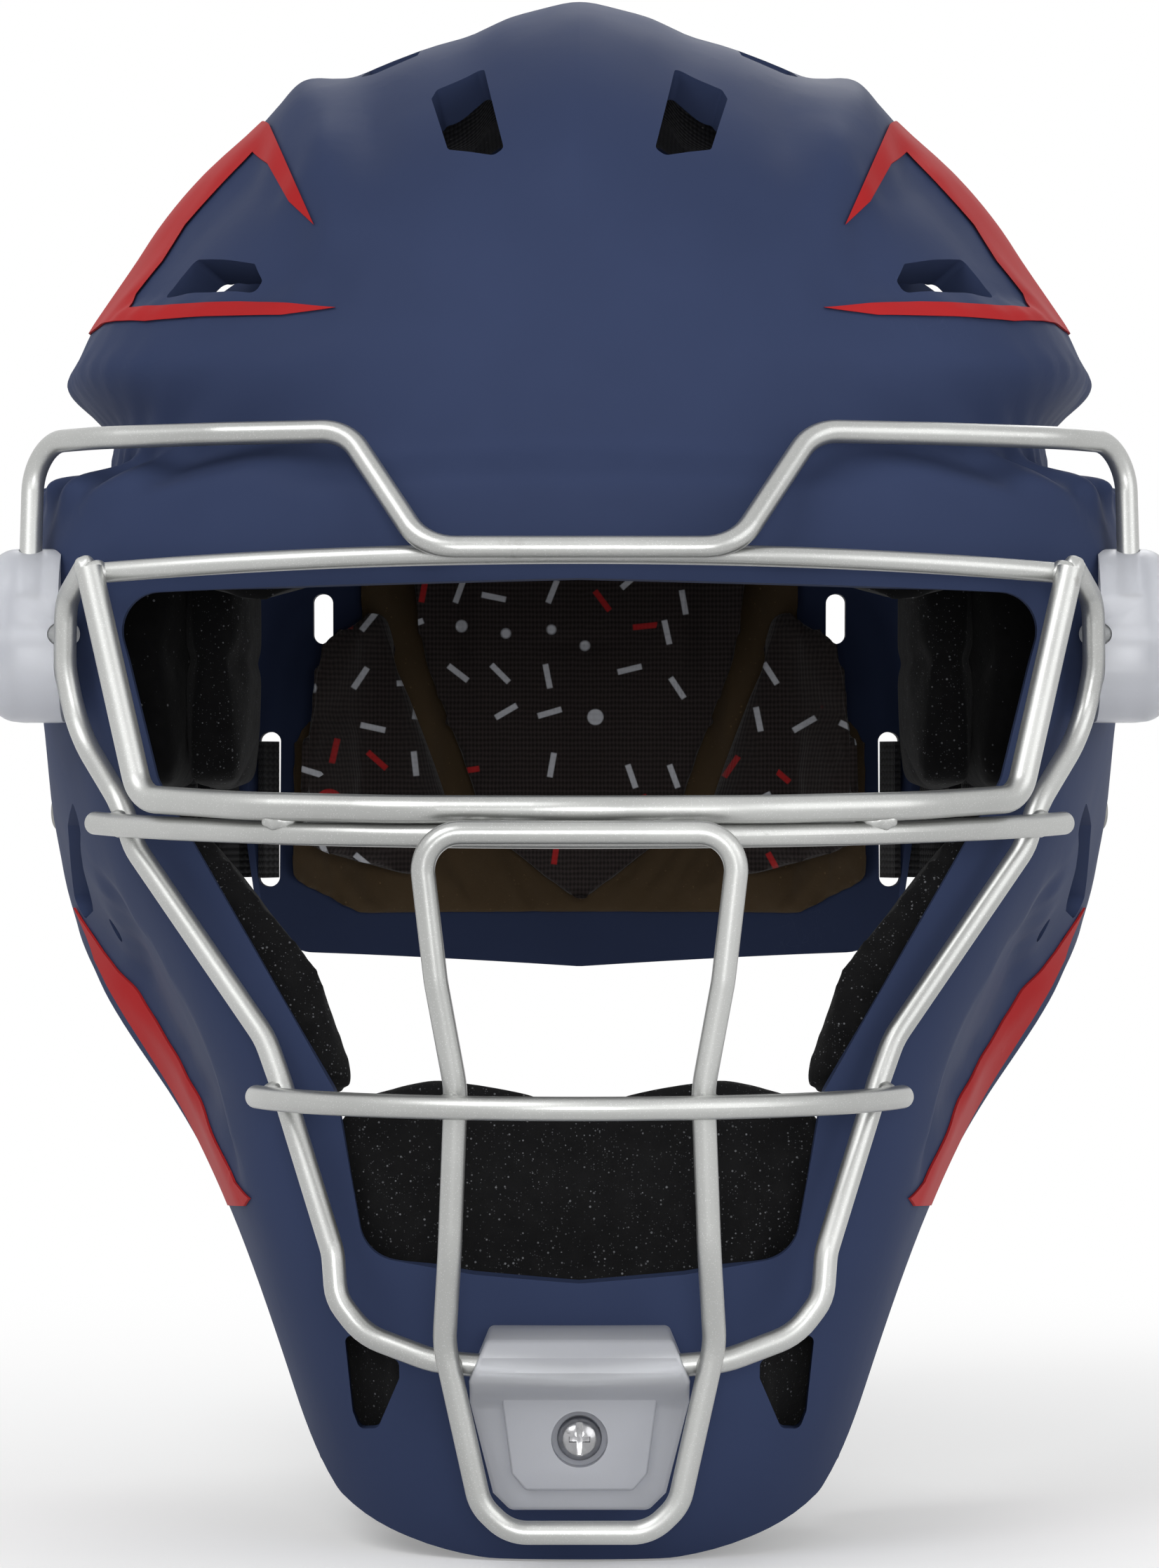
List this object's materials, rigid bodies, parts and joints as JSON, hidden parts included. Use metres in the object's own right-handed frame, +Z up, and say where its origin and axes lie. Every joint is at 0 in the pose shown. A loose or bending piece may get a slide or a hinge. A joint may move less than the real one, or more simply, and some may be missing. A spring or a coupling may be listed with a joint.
{
  "type": "baseball catcher helmet",
  "caption": "Hockey-style catcher helmet: a vented shell with a bent wire cage on clear clips, foam cushions and a separate back plate on elastic straps.",
  "frame": {"origin": "middle of the opening that the head goes in by: in the middle plane, below the ear line, level with the lowest point of the chin", "axes": "+Z up along the head, the face looks along -Y, +X to the wearer's left"},
  "size_m": [0.246, 0.2894, 0.3316],
  "materials": {
    "shell_plastic": "satin moulded shell, dark navy",
    "stripe_film": "bonded red film",
    "cage_wire": "silver painted steel wire",
    "clear_clip": "clear moulded plastic",
    "bright_steel": "bright screw",
    "nut_steel": "plated nut or rivet",
    "speckled_foam": "black foam with pale specks",
    "dark_liner": "dark knitted liner with a small repeated pattern",
    "plain_foam": "dark knitted cover",
    "brown_foam": "brown-green foam",
    "plate_plastic": "satin moulded panel, dark navy",
    "elastic": "black ribbed elastic",
    "buckle_plastic": "black slider"
  },
  "bodies": {
    "helmet": {"front_shell": "shell_plastic", "crown_stripes": "stripe_film", "jaw_stripes": "stripe_film", "cage_brow_wire": "cage_wire", "cage_eye_frame": "cage_wire", "cage_eye_top_bar": "cage_wire", "cage_side_wire": "cage_wire", "cage_cheek_bar": "cage_wire", "cage_mouth_bar": "cage_wire", "cage_centre_loop": "cage_wire", "cage_clip_pegs": "cage_wire", "side_clip_right": "clear_clip", "side_clip_left": "clear_clip", "chin_clip": "clear_clip", "side_clip_screws": "bright_steel", "chin_clip_screw": "bright_steel", "side_clip_nuts": "nut_steel", "chin_clip_nut": "nut_steel", "brow_pad": "dark_liner", "crown_pad": "plain_foam", "chin_pad": "speckled_foam", "jaw_pad_right": "dark_liner", "jaw_pad_left": "dark_liner", "temple_liner_right": "dark_liner", "temple_liner_left": "dark_liner", "temple_pad_right": "speckled_foam", "temple_pad_left": "speckled_foam", "side_straps_front": "elastic", "top_strap_front": "elastic", "top_strap_buckle": "buckle_plastic", "side_strap_rivets": "nut_steel", "top_strap_rivet": "nut_steel"},
    "side_sliders": {"side_strap_buckles": "buckle_plastic"},
    "rear_panel": {"back_plate": "plate_plastic", "rear_pad_base": "brown_foam", "rear_pad_centre": "dark_liner", "rear_pad_right": "brown_foam", "rear_pad_left": "brown_foam", "side_straps_rear": "elastic", "top_strap_rear": "elastic"}
  },
  "joints": [
    {"name": "side_strap_stretch", "type": "slide", "parent": "helmet", "child": "side_sliders", "axis": [0, 1, 0], "range_m": [0, 0.015], "stiffness_N_per_m": 600, "springref_m": -0.005, "deforming": ["side_straps_front"]},
    {"name": "rear_panel_swing", "type": "hinge", "parent": "side_sliders", "child": "rear_panel", "pos_m": [0, 0.1058, 0.26], "axis": [1, 0, 0], "range_deg": [0, 12], "stiffness_Nm_per_rad": 4, "springref_deg": -3.44, "deforming": ["side_straps_rear", "top_strap_rear"]}
  ]
}
